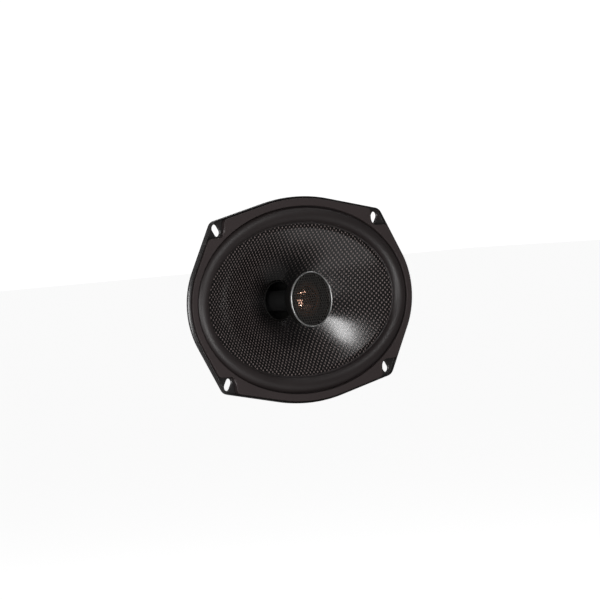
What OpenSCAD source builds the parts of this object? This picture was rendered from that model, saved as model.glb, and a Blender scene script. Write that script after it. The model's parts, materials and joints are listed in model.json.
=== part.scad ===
// Oval 6x9 inch coaxial car speaker: a long-throw woven-fibre cone driven by a ferrite motor,
// with a small dome tweeter on a post through the motor's pole.
//
// Frame: millimetres. The drive axis runs along Y and the speaker faces -Y. X is the long axis
// of the oval and Z is up. The origin is the centre of the mounting face, the back of the gasket
// ring that lies against the panel.
//
// Every part is drawn about a local axis with the front towards +z, and to_frame() turns it
// into the frame above.

/* [Frame outline] */
// Half length of the flange, centre to end
flange_half_length = 119.7; // [118:0.1:122]
// Half height of the flange, centre to top
flange_half_height = 82.8; // [82:0.1:85]
// Radius of the arcs at the two ends of the flange
end_radius = 60; // [55:1:65]
// Radius of the long arcs along the top and the bottom
side_radius = 170; // [150:5:200]
// Radius of the four corners that carry the screw slots
corner_radius = 9; // [7.5:0.5:10]
// Thickness of the foam mounting gasket
gasket_thickness = 1.0; // [0.8:0.1:1.2]
// Sheet thickness of the steel basket
sheet = 1.2; // [1:0.1:1.4]
// Height of the moulded trim ring over the flange
trim_height = 3.8; // [3.2:0.1:4.5]
// Height of the basket's upturned edge over the flange, round the trim ring and the ears
edge_height = 2.7; // [2:0.1:3.2]

/* [Screw slots] */
// Half distance between the slots along the length
slot_x = 84.7; // [84:0.1:85.5]
// Half distance between the slots along the height
slot_y = 60.6; // [60:0.1:61.2]
// End-to-end length of each slot
slot_length = 10.5; // [8:0.1:11]
// Width of each slot
slot_width = 6.6; // [5:0.1:6.8]
// Angle of each slot from the long axis
slot_angle = 58; // [50:1:62]

/* [Oval opening] */
// Half length of the opening in the trim ring
opening_a = 112.5; // [111:0.1:113]
// Half height of the opening in the trim ring
opening_b = 75.0; // [74.5:0.1:75.8]
// Width of the surround's half roll
roll_width = 12.2; // [11:0.1:12.4]
// Height of the surround's half roll over its lands
roll_height = 5.2; // [4:0.1:6]
// Distance from the trim to the bend where the cone's flat lip turns down
cone_inset = 17.4; // [17:0.1:18.5]

/* [Cone] */
// Depth from the cone's edge to its neck
cone_depth = 28; // [25:0.5:29]
// Thickness of the cone
cone_thickness = 0.7; // [0.5:0.1:0.9]
// Share of the cone's depth that is straight, the rest curves towards the neck
cone_straightness = 0.75; // [0.6:0.05:1]

/* [Motor] */
// Diameter of the ferrite ring magnet
magnet_d = 100; // [90:1:101]
// Thickness of the ferrite ring magnet
magnet_h = 18; // [16:0.5:20]
// Diameter of the steel plates
plate_d = 90; // [84:1:92]
// Thickness of the front plate
front_plate_h = 6; // [5:0.5:6.5]
// Thickness of the back plate
back_plate_h = 6.5; // [5:0.5:8]
// Radius of the pole
pole_r = 15; // [14.9:0.05:15.05]
// Radial gap on each side of the voice coil
coil_gap = 0.4; // [0.35:0.05:0.45]
// Thickness of the voice coil winding
winding_t = 1.0; // [0.8:0.05:1.05]
// Length of the voice coil winding
winding_h = 16; // [12:1:17]

/* [Tweeter] */
// Outer radius of the bright bezel
bezel_r = 22.1; // [22:0.1:22.6]
// Height of the bezel's front over the mounting face
tweeter_front = 14.3; // [14:0.1:15]
// Distance between the centres of the grille's holes
grille_pitch = 2.4; // [2.2:0.1:3]
// Width of each hexagonal grille hole, corner to corner
grille_hole = 1.9; // [1.2:0.1:1.9]
// Radius of the dome
dome_r = 10.5; // [10.3:0.1:10.6]
// Height of the dome
dome_h = 3.2; // [2.5:0.1:3.5]
// Radius of the post that carries the tweeter
post_r = 8; // [7:0.5:9]

/* [Hidden] */
$fn = 96;
oval_steps = 72;    // straight sides round each oval
glue_line = 0.1;    // gap left where a flexible part is bonded to a moving one
nested = 0.05;      // radial clearance between fixed round parts that nest
cut = 1;            // how far a cutting body runs past the face that it opens

// Levels along the drive axis, front +z
flange_back = gasket_thickness;
flange_front = flange_back + sheet;
trim_front = flange_front + trim_height;
land_t = 0.6;
roll_start = 0.8;   // from the trim to the foot of the roll
bare_lip = 3.4;    // bare width of the cone's flat lip
cone_top = flange_front - 0.2;
neck_z = cone_top - cone_depth;
lip_z = -9;
ledge_z = -30;
cup_floor_z = -44;
plate_front_z = cup_floor_z - 1.5;
plate_back_z = plate_front_z - front_plate_h;
magnet_back_z = plate_back_z - magnet_h;
yoke_back_z = magnet_back_z - back_plate_h;
pole_top_z = plate_front_z + 1;
gap_mid_z = plate_front_z - front_plate_h / 2;

// Voice coil
former_in = pole_r + coil_gap;
former_out = former_in + 0.3;
winding_out = former_out + winding_t;
plate_bore_r = winding_out + coil_gap;
neck_r = former_out + 0.1;

// Basket
wall_t = 1.2;
edge_inset = 0.3;
edge_t = 0.8;
trim_inset = edge_inset + edge_t + 0.7;
wall_a = opening_a - 1.7;
wall_b = opening_b - 1.4;
lip_width = 7.5;
cup_r = 52;
ledge_r = 57.5;
spider_r = 54;
post_hole_r = 26;
spoke_angles = [0, 44, 136, 180, 224, 316];
wide_spoke = 22;
narrow_spoke = 14;
rib_t = 1.4;
rivet_circle = 36;

// Flange outline: the directions at which the end and side arcs hand over to the corners
end_normal = [cos(30), sin(30)];
side_normal = [cos(78.5), sin(78.5)];
end_x = flange_half_length - end_radius;
side_y = flange_half_height - side_radius;
end_reach = end_normal[0] * end_x + end_radius - corner_radius;
side_reach = side_normal[1] * side_y + side_radius - corner_radius;
normals_det = side_normal[0] * end_normal[1] - side_normal[1] * end_normal[0];
corner_x = (side_reach * end_normal[1] - side_normal[1] * end_reach) / normals_det;
corner_y = (side_normal[0] * end_reach - side_reach * end_normal[0]) / normals_det;

// Terminal side
board_x = -56;
board_t = 2;
tab_t = 0.8;
tab_y = 5.9;
cap_r = 5;
cap_h = 19;
lead_r = 0.9;
wire_r = 0.8;

// Tweeter levels
bezel_h = 1.4;
housing_front = tweeter_front - bezel_h;
grille_front = tweeter_front - 0.5;
grille_t = 0.6;
yoke_r = 13.5;
yoke_gap_r = 11.2;
tweeter_pole_r = 9.9;
yoke_floor = 1.0;
pole_floor = yoke_floor + 1.8;
pole_front = 7.4;
diaphragm_z = 8.4;
stud_r = 5;
stud_end = yoke_back_z - 4.2;
post_bore_r = 3.2;

// ---------------------------------------------------------------- helpers

// Turns a part drawn with its front towards +z into the speaker's frame
module to_frame() {
    rotate([90, 0, 0]) children();
}

// Points of an oval with half axes a and b
function oval(a, b) = [
    for (i = [0 : oval_steps - 1])
        let (t = 360 * i / oval_steps) [a * cos(t), b * sin(t)]
];

// Distance from the centre to an oval's edge along the direction phi
function oval_reach(a, b, phi) = a * b / norm([b * cos(phi), a * sin(phi)]);

// Half axes of the oval that lies a distance u inside the opening
function half_axes(u) = [opening_a - 0.977 * u, opening_b - 1.023 * u];

module oval_prism(a, b, z0, z1) {
    translate([0, 0, z0]) linear_extrude(z1 - z0) polygon(oval(a, b));
}

// A closed band that follows an oval: each station of its section is [a, b, z]
module oval_band(stations) {
    m = len(stations);
    n = oval_steps;
    points = [
        for (s = stations, p = oval(s[0], s[1])) [p[0], p[1], s[2]]
    ];
    faces = [
        for (j = [0 : m - 1], i = [0 : n - 1])
            let (
                k = (j + 1) % m,
                next = (i + 1) % n,
                p00 = j * n + i,
                p01 = j * n + next,
                p10 = k * n + i,
                p11 = k * n + next
            )
            each [[p00, p01, p11], [p00, p11, p10]]
    ];
    polyhedron(points, faces);
}

module tube(r_out, r_in, z0, z1) {
    translate([0, 0, z0]) difference() {
        cylinder(r = r_out, h = z1 - z0);
        translate([0, 0, -cut]) cylinder(r = r_in, h = z1 - z0 + 2 * cut);
    }
}

// Places children at the four mirrored corner positions of a first-quadrant child
module four_corners() {
    for (sx = [0, 1], sy = [0, 1])
        mirror([sx, 0, 0]) mirror([0, sy, 0]) children();
}

// Outline of the flange, drawn in by a given distance
module flange_outline(inset = 0) {
    side_half = side_radius * side_normal[0];
    hull() {
        for (s = [-1, 1]) translate([s * end_x, 0]) circle(r = end_radius - inset);
        four_corners() translate([corner_x, corner_y]) circle(r = corner_radius - inset);
        for (s = [0, 1]) mirror([0, s]) intersection() {
            translate([0, side_y]) circle(r = side_radius - inset, $fn = 240);
            translate([-side_half, 0]) square([2 * side_half, flange_half_height]);
        }
    }
}

module slot_outline() {
    reach = (slot_length - slot_width) / 2;
    square([2 * reach, slot_width], center = true);
    for (s = [-1, 1]) translate([s * reach, 0]) circle(d = slot_width);
}

module slot_outlines() {
    four_corners() translate([slot_x, slot_y]) rotate(slot_angle) slot_outline();
}

// Catmull-Rom curve through the points of a route
function curve_point(a, b, c, d, t) =
    0.5 * (2 * b + (c - a) * t + (2 * a - 5 * b + 4 * c - d) * t * t
        + (3 * b - a - 3 * c + d) * t * t * t);

function smooth_route(route, steps) = [
    for (i = [0 : len(route) - 2], s = [0 : steps - 1])
        curve_point(
            route[max(i - 1, 0)], route[i], route[i + 1], route[min(i + 2, len(route) - 1)],
            s / steps
        ),
    route[len(route) - 1]
];

function unit(v) = v / norm(v);

// A round tube swept along a route, whose sections are turned about the given side direction
module swept_tube(route, r, side, sides = 8) {
    n = len(route);
    points = [
        for (i = [0 : n - 1])
            let (
                along = unit(route[min(i + 1, n - 1)] - route[max(i - 1, 0)]),
                across = unit(cross(along, side)),
                up = cross(across, along)
            )
            for (k = [0 : sides - 1])
                route[i] + r * (cos(360 * k / sides) * across + sin(360 * k / sides) * up)
    ];
    walls = [
        for (i = [0 : n - 2], k = [0 : sides - 1])
            let (next = (k + 1) % sides, a = i * sides, b = (i + 1) * sides)
            each [[a + k, a + next, b + next], [a + k, b + next, b + k]]
    ];
    start_cap = [for (k = [sides - 1 : -1 : 0]) k];
    end_cap = [for (k = [0 : sides - 1]) (n - 1) * sides + k];
    polyhedron(points, concat([start_cap], walls, [end_cap]));
}

function flip_y(route) = [for (p = route) [p[0], -p[1], p[2]]];

// ---------------------------------------------------------------- frame

// One basket arm, drawn from the side: a sloping plate with a folded rib along each edge. Its
// outer end runs past the rim wall and is trimmed to the oval with the others.
module spoke(phi, width) {
    rim = oval_reach(wall_a, wall_b, phi);
    root = lip_z - 0.3;
    foot = ledge_r + 1;
    seat = ledge_z - 0.1;
    plate = [
        [rim + 3, root], [rim - 4, root], [foot, seat], [cup_r - 0.8, seat],
        [cup_r - 0.8, seat - sheet], [foot, seat - sheet], [rim - 4, root - sheet],
        [rim + 3, root - sheet]
    ];
    // A point at a share of the slope, dropped below the plate's top face
    function along(share, drop) =
        [rim - 4 + share * (foot + 4 - rim), root + share * (seat - root) - drop];
    rib = [
        [rim + 3, root - 0.1], along(0, 0.1), along(1, 0.1), [cup_r - 0.6, seat - 0.1],
        [cup_r - 0.6, seat - 6], [foot - 3, seat - 6], along(0.4, 5.5),
        along(0.12, sheet + 0.3), [rim + 3, root - sheet + 0.1]
    ];
    rotate([0, 0, phi]) rotate([90, 0, 0]) {
        translate([0, 0, -width / 2]) linear_extrude(width) polygon(plate);
        for (s = [0, 1])
            mirror([0, 0, s]) translate([0, 0, width / 2 - rib_t + 0.1])
                linear_extrude(rib_t) polygon(rib);
    }
}

module spokes() {
    intersection() {
        union() {
            for (phi = spoke_angles)
                spoke(phi, phi % 180 == 0 ? wide_spoke : narrow_spoke);
        }
        oval_prism(wall_a - wall_t / 2, wall_b - wall_t / 2, plate_front_z, lip_z + cut);
    }
}

module basket() {
    color("#5a5654") to_frame() difference() {
        union() {
            difference() {
                union() {
                    translate([0, 0, flange_back]) linear_extrude(sheet)
                        flange_outline(edge_inset);
                    translate([0, 0, flange_back]) linear_extrude(sheet + edge_height)
                        difference() {
                            flange_outline(edge_inset);
                            flange_outline(edge_inset + edge_t);
                        }
                    oval_prism(wall_a, wall_b, lip_z - sheet, flange_back + sheet / 2);
                }
                oval_prism(wall_a - wall_t, wall_b - wall_t, lip_z, flange_front + cut);
                oval_prism(wall_a - lip_width, wall_b - lip_width, lip_z - sheet - cut, 0);
            }
            spokes();
            rotate_extrude() polygon([
                [ledge_r, ledge_z], [ledge_r, ledge_z - sheet], [cup_r, ledge_z - sheet],
                [cup_r, plate_front_z], [post_hole_r, plate_front_z], [post_hole_r, cup_floor_z],
                [cup_r - 1.5, cup_floor_z], [cup_r - 1.5, ledge_z]
            ]);
            // Pad that carries the terminal board
            translate([board_x + board_t, -9, cup_floor_z + 1]) cube([4, 18, 10]);
        }
        translate([0, 0, flange_back - cut]) linear_extrude(sheet + 2 * cut) slot_outlines();
        for (i = [0 : 3])
            rotate([0, 0, 45 + 90 * i]) translate([rivet_circle, 0, plate_front_z - cut])
                cylinder(r = 2, h = 1.5 + 2 * cut);
        for (s = [-1, 1]) {
            translate([-66, s * tab_y, -40]) cylinder(r = 2.2, h = 30);
            translate([board_x, s * tab_y, -38]) rotate([0, 90, 0]) cylinder(r = 1.55, h = 5.6);
        }
    }
}

module mounting_gasket() {
    color("#262424") to_frame() difference() {
        linear_extrude(gasket_thickness) flange_outline(0.6);
        oval_prism(wall_a + 0.5, wall_b + 0.5, -cut, gasket_thickness + cut);
        translate([0, 0, -cut]) linear_extrude(gasket_thickness + 2 * cut) slot_outlines();
    }
}

// The space over one ear: round towards the oval and open outwards
module ear_pocket() {
    pocket_r = 6;
    reach = 30;
    translate([slot_x, slot_y]) {
        circle(r = pocket_r);
        translate([-pocket_r, 0]) square([reach + pocket_r, reach]);
        translate([0, -pocket_r]) square([reach, reach + pocket_r]);
    }
}

module trim_ring() {
    land = half_axes(-4.2);
    color("#3e3838") to_frame() difference() {
        translate([0, 0, flange_front]) linear_extrude(trim_height) difference() {
            flange_outline(trim_inset);
            four_corners() ear_pocket();
        }
        oval_prism(opening_a, opening_b, flange_front - cut, trim_front + cut);
        oval_prism(land[0], land[1], flange_front - cut, flange_front + land_t);
    }
}

// ---------------------------------------------------------------- moving parts and suspension

module surround() {
    mid_u = roll_start + roll_width / 2;
    steps = 10;
    base_z = flange_front + land_t / 2;
    outer_land = -4;
    inner_z = cone_top + glue_line;
    inner_u = cone_inset - bare_lip;
    // Section: the outer land, over the roll to the inner land, and back underneath
    over = [
        for (i = [0 : steps])
            let (t = 180 * i / steps)
            [mid_u - roll_width / 2 * cos(t), base_z + 0.3 + (roll_height - 0.3) * sin(t)]
    ];
    under = [
        for (i = [steps : -1 : 0])
            let (t = 180 * i / steps)
            [
                mid_u - (roll_width / 2 - land_t) * cos(t),
                base_z - 0.3 - 0.1 * i / steps + (roll_height - 0.35) * sin(t)
            ]
    ];
    section = concat(
        [[outer_land, flange_front], [outer_land, flange_front + land_t]],
        over,
        [[inner_u, inner_z + land_t], [inner_u, inner_z]],
        under
    );
    color("#1c1b1c") to_frame() oval_band([
        for (p = section) let (h = half_axes(p[0])) [h[0], h[1], p[1]]
    ]);
}

// Half axes and front height of the cone at a share s of the way from its edge to its neck
function cone_station(s, lower = 0) =
    let (edge = half_axes(cone_inset), bend = cone_straightness)
    [
        edge[0] + (neck_r - edge[0]) * s,
        edge[1] + (neck_r - edge[1]) * s,
        cone_top - lower - cone_depth * (bend * s + (1 - bend) * s * s)
    ];

module cone() {
    lip = half_axes(cone_inset - 3.8);
    steps = 7;
    front = [for (i = [0 : steps]) cone_station(i / steps)];
    back = [for (i = [steps : -1 : 0]) cone_station(i / steps, cone_thickness * (1 + 0.4 * i / steps))];
    color("#1b1b1c") to_frame() oval_band(concat(
        [[lip[0], lip[1], cone_top - cone_thickness], [lip[0], lip[1], cone_top]],
        front,
        back
    ));
}

module voice_coil_former() {
    color("#8a6a3c") to_frame()
        tube(former_out, former_in, gap_mid_z - winding_h / 2 - 0.3, neck_z + 1.2);
}

module voice_coil_winding() {
    color("#a8643a") to_frame()
        tube(winding_out, former_out, gap_mid_z - winding_h / 2, gap_mid_z + winding_h / 2);
}

// Where the two tinsel leads meet the back of the cone
eyelet_s = 0.6;
eyelet = cone_station(eyelet_s, cone_thickness * (1 + 0.4 * eyelet_s));
eyelet_y = 9;
eyelet_x = -eyelet[0] * sqrt(1 - pow(eyelet_y / eyelet[1], 2));

module lead_eyelets() {
    color("#b5894a") to_frame() for (s = [-1, 1])
        translate([eyelet_x, s * eyelet_y, eyelet[2] - 2.4])
            cylinder(r = 1.4, h = 1.6);
}

// A round cloth disc with rolled corrugations between two flat lands
module spider() {
    inner = former_out + glue_line;
    flat = 4.5;
    waves = 5;
    steps = 8 * waves;
    depth = 1.5;
    t = 0.5;
    start = inner + flat;
    run = spider_r - flat - start;
    mid_z = ledge_z + t + depth;
    wave = [
        for (i = [0 : steps])
            [start + run * i / steps, mid_z + depth * sin(360 * waves * i / steps)]
    ];
    upper = concat(
        [[inner, mid_z]], wave, [[spider_r - flat + 1.2, ledge_z + t], [spider_r, ledge_z + t]]
    );
    lower = [for (i = [len(upper) - 1 : -1 : 0]) [upper[i][0], upper[i][1] - t]];
    color("#8d7a3f") to_frame() rotate_extrude() polygon(concat(upper, lower));
}

// ---------------------------------------------------------------- motor

module front_plate() {
    color("#6e6e70") to_frame() difference() {
        tube(plate_d / 2, plate_bore_r, plate_back_z, plate_front_z);
        for (i = [0 : 3])
            rotate([0, 0, 45 + 90 * i]) translate([rivet_circle, 0, plate_back_z - cut])
                cylinder(r = 2, h = front_plate_h + 2 * cut);
    }
}

module plate_rivets() {
    color("#a0a0a4") to_frame() for (i = [0 : 3])
        rotate([0, 0, 45 + 90 * i]) translate([rivet_circle, 0, 0]) {
            translate([0, 0, plate_back_z]) cylinder(r = 2 - nested, h = cup_floor_z - plate_back_z);
            translate([0, 0, cup_floor_z]) cylinder(r1 = 3.4, r2 = 2.6, h = 1.3);
        }
}

module ferrite_magnet() {
    color("#2b2b2d") to_frame() tube(magnet_d / 2, 24, magnet_back_z, plate_back_z);
}

module back_plate() {
    color("#77777a") to_frame() difference() {
        union() {
            translate([0, 0, yoke_back_z]) cylinder(d = plate_d, h = back_plate_h);
            translate([0, 0, yoke_back_z]) cylinder(r = pole_r, h = pole_top_z - yoke_back_z);
        }
        translate([0, 0, yoke_back_z - cut])
            cylinder(r = stud_r + nested, h = pole_top_z - yoke_back_z + 2 * cut);
    }
}

// ---------------------------------------------------------------- tweeter

module tweeter_post() {
    color("#232224") to_frame() difference() {
        union() {
            translate([0, 0, pole_top_z]) cylinder(r = post_r, h = yoke_floor - pole_top_z - 2);
            translate([0, 0, stud_end]) cylinder(r = stud_r, h = pole_top_z - stud_end + 1);
        }
        translate([0, 0, stud_end - cut]) cylinder(r = post_bore_r, h = yoke_floor - stud_end + cut);
    }
}

module post_washer() {
    color("#9a9a9c") to_frame() tube(9.5, stud_r + nested, yoke_back_z - 0.8, yoke_back_z);
}

module post_nut() {
    color("#8e8e90") to_frame() translate([0, 0, yoke_back_z - 3.6]) difference() {
        cylinder(r = 8.1, h = 2.8, $fn = 6);
        translate([0, 0, -cut]) cylinder(r = stud_r + nested, h = 5);
    }
}

module tweeter_housing() {
    color("#1a191a") to_frame() rotate_extrude() polygon([
        [post_r + nested, yoke_floor - 6], [10.5, yoke_floor - 6], [11.2, yoke_floor - 1.6],
        [15.5, yoke_floor - 0.8], [18.6, yoke_floor + 1.2], [20.0, yoke_floor + 4],
        [20.9, housing_front - 2.6], [22, housing_front - 2], [22, housing_front],
        [21.2, housing_front], [20, diaphragm_z + 0.1], [14.5, diaphragm_z - 0.8],
        [yoke_r + nested, pole_front], [yoke_r + nested, yoke_floor],
        [post_bore_r, yoke_floor], [post_bore_r, yoke_floor - 2], [post_r + nested, yoke_floor - 2]
    ]);
}

module tweeter_yoke() {
    color("#8a8a8c") to_frame() difference() {
        translate([0, 0, yoke_floor]) cylinder(r = yoke_r, h = pole_front - yoke_floor);
        translate([0, 0, pole_floor]) cylinder(r = yoke_gap_r, h = 20);
    }
}

module tweeter_magnet() {
    color("#b9b9bd") to_frame()
        translate([0, 0, pole_floor]) cylinder(r = 9.2, h = 3);
}

module tweeter_pole_plate() {
    color("#8a8a8c") to_frame()
        translate([0, 0, pole_floor + 3]) cylinder(r = tweeter_pole_r, h = pole_front - pole_floor - 3);
}

module tweeter_coil() {
    color("#b06a3c") to_frame()
        tube(dome_r + 0.3, dome_r - 0.3, diaphragm_z - 3.2, diaphragm_z);
}

module tweeter_dome() {
    // A thin spherical cap that stands on the top of its coil
    t = 0.25;
    outer = (pow(dome_r, 2) + pow(dome_h, 2)) / (2 * dome_h);
    centre_z = diaphragm_z + dome_h - outer;
    color("#b9744a") to_frame() intersection() {
        translate([0, 0, centre_z]) difference() {
            sphere(r = outer);
            sphere(r = outer - t);
        }
        translate([0, 0, diaphragm_z]) cylinder(r = dome_r + cut, h = dome_h + cut);
    }
}

module dome_suspension() {
    // A small half roll of thin cloth between the dome's coil and the clamping ring
    inner = dome_r + 0.3 + glue_line;
    outer = 14.4;
    roll = 1.3;
    t = 0.2;
    mid = (inner + outer - 0.6) / 2;
    steps = 10;
    arc = [
        for (i = [0 : steps])
            let (a = 180 * i / steps) [mid - roll * cos(a), diaphragm_z - 0.5 + 0.9 * sin(a)]
    ];
    line = concat([[inner, diaphragm_z - 0.5]], arc, [[outer, diaphragm_z - 0.5]]);
    bottom = [for (i = [len(line) - 1 : -1 : 0]) [line[i][0], line[i][1] - t]];
    color("#7a4a30") to_frame() rotate_extrude() polygon(concat(line, bottom));
}

module tweeter_faceplate() {
    // Ring that clamps the suspension and flares out to the grille
    color("#1f1e1f") to_frame() rotate_extrude() polygon([
        [14.6, diaphragm_z - 0.4], [20, diaphragm_z + 0.2], [21.1, housing_front],
        [20.5, housing_front], [19.5, diaphragm_z + 1.6], [14.6, diaphragm_z + 0.6]
    ]);
}

module tweeter_grille() {
    grille_r = bezel_r - 0.8;
    field_r = grille_r - 1.3;
    rows = ceil(field_r / (grille_pitch * sin(60)));
    color("#2a292a") to_frame() translate([0, 0, grille_front - grille_t])
        linear_extrude(grille_t) difference() {
            circle(r = grille_r);
            for (row = [-rows : rows], col = [-rows - 2 : rows + 2])
                let (
                    x = grille_pitch * (col + (row % 2 == 0 ? 0 : 0.5)),
                    y = grille_pitch * sin(60) * row
                )
                if (norm([x, y]) < field_r) translate([x, y]) circle(d = grille_hole, $fn = 6);
        }
}

module tweeter_bezel() {
    color("#d4d4d8") to_frame() rotate_extrude() polygon([
        [bezel_r - 0.7, housing_front], [bezel_r, housing_front],
        [bezel_r, tweeter_front - 0.3], [bezel_r - 0.3, tweeter_front],
        [bezel_r - 0.8, tweeter_front], [bezel_r - 0.95, tweeter_front - 0.2],
        [bezel_r - 0.95, grille_front], [bezel_r - 0.7, grille_front]
    ]);
}

// ---------------------------------------------------------------- terminals and wiring

module terminal_board() {
    color("#7a5a34") to_frame() difference() {
        // Wide at the back, and narrow between the arm's two ribs
        union() {
            translate([board_x, -13, -53]) cube([board_t, 26, 15]);
            translate([board_x, -9.2, -53]) cube([board_t, 18.4, 20.5]);
        }
        for (s = [-1, 1])
            translate([board_x - cut, s * tab_y, -38]) rotate([0, 90, 0])
                cylinder(r = 1.55, h = board_t + 2 * cut);
    }
}

// A flat spade tab riveted to the board, with a solder tail at its front end
module spade(width, y) {
    translate([board_x - tab_t, y, 0]) difference() {
        translate([0, 0, -62]) rotate([90, 0, 90]) linear_extrude(tab_t) polygon([
            [-width / 2, 1.2], [-width / 2 + 1, 0], [width / 2 - 1, 0], [width / 2, 1.2],
            [width / 2, 28], [1.2, 28], [1.2, 30], [-1.2, 30], [-1.2, 28], [-width / 2, 28]
        ]);
        translate([-cut, 0, -57.5]) rotate([0, 90, 0]) cylinder(r = 0.9, h = tab_t + 2 * cut);
        translate([-cut, 0, -38]) rotate([0, 90, 0]) cylinder(r = 1.55, h = tab_t + 2 * cut);
    }
}

module wide_terminal() {
    color("#c9b26a") to_frame() spade(6.3, tab_y);
}

module narrow_terminal() {
    color("#c9b26a") to_frame() spade(4.8, -tab_y);
}

module terminal_rivets() {
    color("#c0c0c4") to_frame() for (s = [-1, 1])
        translate([board_x - tab_t, s * tab_y, -38]) rotate([0, 90, 0]) {
            cylinder(r = 1.5, h = 5);
            translate([0, 0, -0.9]) cylinder(r1 = 1.9, r2 = 2.5, h = 0.9);
        }
}

// Centre of the capacitor, which is glued against the basket's cup beside the board
cap_x = -53.4;
cap_y = 20.6;
cap_front = -33;

module crossover_capacitor() {
    color("#20262e") to_frame() {
        translate([cap_x, cap_y, cap_front - cap_h]) rotate_extrude() polygon([
            [0, 0], [cap_r - 0.5, 0], [cap_r, 0.5], [cap_r, 2], [cap_r - 0.5, 2.6],
            [cap_r, 3.2], [cap_r, cap_h - 0.5], [cap_r - 0.5, cap_h], [0, cap_h]
        ]);
        swept_tube(
            smooth_route([
                [cap_x - 1.8, cap_y - 1, cap_front - cap_h + 0.5],
                [cap_x - 1.9, cap_y - 1, -55], [-56, 17, -56.5], [-57.4, 11.5, -56]
            ], 4),
            0.35, [1, 0, 0], 6
        );
    }
}

// Route of one tinsel lead: from the tab's solder tail, through the arm, to the cone's eyelet
tinsel_route = [
    [board_x - 1.8, tab_y, -34], [-59, tab_y, -32.4], [-63.5, tab_y, -31.5],
    [-66, tab_y, -28], [-65, 6.1, -23], [-60, 6.8, -19.4], [-55, 7.6, -19.2],
    [eyelet_x - 1.8, 8.7, eyelet[2] - 2.4]
];

module wide_tinsel_lead() {
    color("#a9744a") to_frame() swept_tube(smooth_route(tinsel_route, 3), lead_r, [0, 1, 0]);
}

module narrow_tinsel_lead() {
    color("#a9744a") to_frame() mirror([0, 1, 0])
        swept_tube(smooth_route(tinsel_route, 3), lead_r, [0, 1, 0]);
}

// Routes of the tweeter's two wires: out of the hollow post, over the back and up to the board
wire_route_a = [
    [0, 1.2, 0.4], [0, 1.2, -40], [0, 1.2, -72], [-0.6, 1.2, -79.5], [-4, 1.4, -82.2],
    [-12, 1.6, -82], [-24, 2, -79.2], [-40, 3, -77.6], [-49, 5, -75.6], [-52.4, 7.2, -71],
    [-52.6, 9.4, -64], [-54.4, 11, -58.4], [-57.8, 10.2, -54.6]
];
wire_route_b = [
    [0, -1.2, 0.4], [0, -1.2, -40], [0, -1.2, -72], [-0.6, -1.2, -79.5], [-4, -1.4, -82.2],
    [-12, -1.6, -82], [-24, -2, -79.2], [-40, -3, -77.6], [-49, -4, -75.6], [-52.4, -5, -71],
    [-52.6, -5.5, -64], [-53.8, -tab_y, -57.4], [-55, -tab_y, -54]
];

module tweeter_wires() {
    color("#c8b9a0") to_frame() {
        swept_tube(smooth_route(wire_route_a, 4), wire_r, [0, 1, 0]);
        swept_tube(smooth_route(wire_route_b, 4), wire_r, [0, 1, 0]);
    }
}

basket();
mounting_gasket();
trim_ring();
surround();
cone();
voice_coil_former();
voice_coil_winding();
lead_eyelets();
spider();
front_plate();
plate_rivets();
ferrite_magnet();
back_plate();
tweeter_post();
post_washer();
post_nut();
tweeter_housing();
tweeter_yoke();
tweeter_magnet();
tweeter_pole_plate();
tweeter_coil();
tweeter_dome();
dome_suspension();
tweeter_faceplate();
tweeter_grille();
tweeter_bezel();
terminal_board();
wide_terminal();
narrow_terminal();
terminal_rivets();
crossover_capacitor();
wide_tinsel_lead();
narrow_tinsel_lead();
tweeter_wires();
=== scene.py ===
"""Looks of the oval coaxial car speaker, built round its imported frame.

Sizes are in millimetres about the drive axis, with the front towards +z, and place() turns
them into the frame's metres: the speaker faces -Y, X is its long axis and Z is up.
"""
import json
import math

import bmesh
import bpy
from mathutils import Matrix, Vector
from mathutils.geometry import delaunay_2d_cdt


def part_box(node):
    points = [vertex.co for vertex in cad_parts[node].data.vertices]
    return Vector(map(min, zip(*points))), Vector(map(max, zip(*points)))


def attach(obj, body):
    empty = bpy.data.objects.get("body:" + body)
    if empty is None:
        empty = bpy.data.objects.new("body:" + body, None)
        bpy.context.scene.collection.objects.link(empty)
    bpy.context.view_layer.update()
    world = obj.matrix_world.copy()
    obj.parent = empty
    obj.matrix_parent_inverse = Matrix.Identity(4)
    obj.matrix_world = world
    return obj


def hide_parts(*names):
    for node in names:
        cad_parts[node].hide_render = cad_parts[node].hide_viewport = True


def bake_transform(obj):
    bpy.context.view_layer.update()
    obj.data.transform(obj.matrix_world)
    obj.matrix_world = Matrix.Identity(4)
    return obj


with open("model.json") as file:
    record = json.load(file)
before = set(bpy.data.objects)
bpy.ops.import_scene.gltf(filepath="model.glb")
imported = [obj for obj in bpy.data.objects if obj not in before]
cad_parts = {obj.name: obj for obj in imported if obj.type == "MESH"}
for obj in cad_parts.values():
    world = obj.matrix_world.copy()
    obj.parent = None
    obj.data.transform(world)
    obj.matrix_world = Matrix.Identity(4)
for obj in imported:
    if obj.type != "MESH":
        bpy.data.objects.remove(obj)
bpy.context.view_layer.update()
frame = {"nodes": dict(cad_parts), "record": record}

MM = 0.001
FIXED = "frame"
MOVING = "moving_assembly"
DIAPHRAGM = "tweeter_diaphragm"
OVAL_SEGMENTS = 240
FINE_OVAL = 320
ROUND_SEGMENTS = 144


# ---- sizes

def front_of(node):
    """Height of a node's front over the mounting face, in millimetres."""
    return -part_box(node)[0].y / MM


def back_of(node):
    """Height of a node's back over the mounting face, in millimetres."""
    return -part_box(node)[1].y / MM


def half_width(node):
    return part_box(node)[1].x / MM


# Flange outline: two end arcs, two long side arcs and four corner arcs
HALF_LENGTH = 119.7
HALF_HEIGHT = 82.8
END_RADIUS = 60.0
SIDE_RADIUS = 170.0
CORNER_RADIUS = 9.0
END_ANGLE = 30.0
SIDE_ANGLE = 78.5

SLOT_X, SLOT_Y = 84.7, 60.6
SLOT_LENGTH, SLOT_WIDTH = 10.5, 6.6
SLOT_ANGLE = 58.0
POCKET_RADIUS = 6.0

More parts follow.
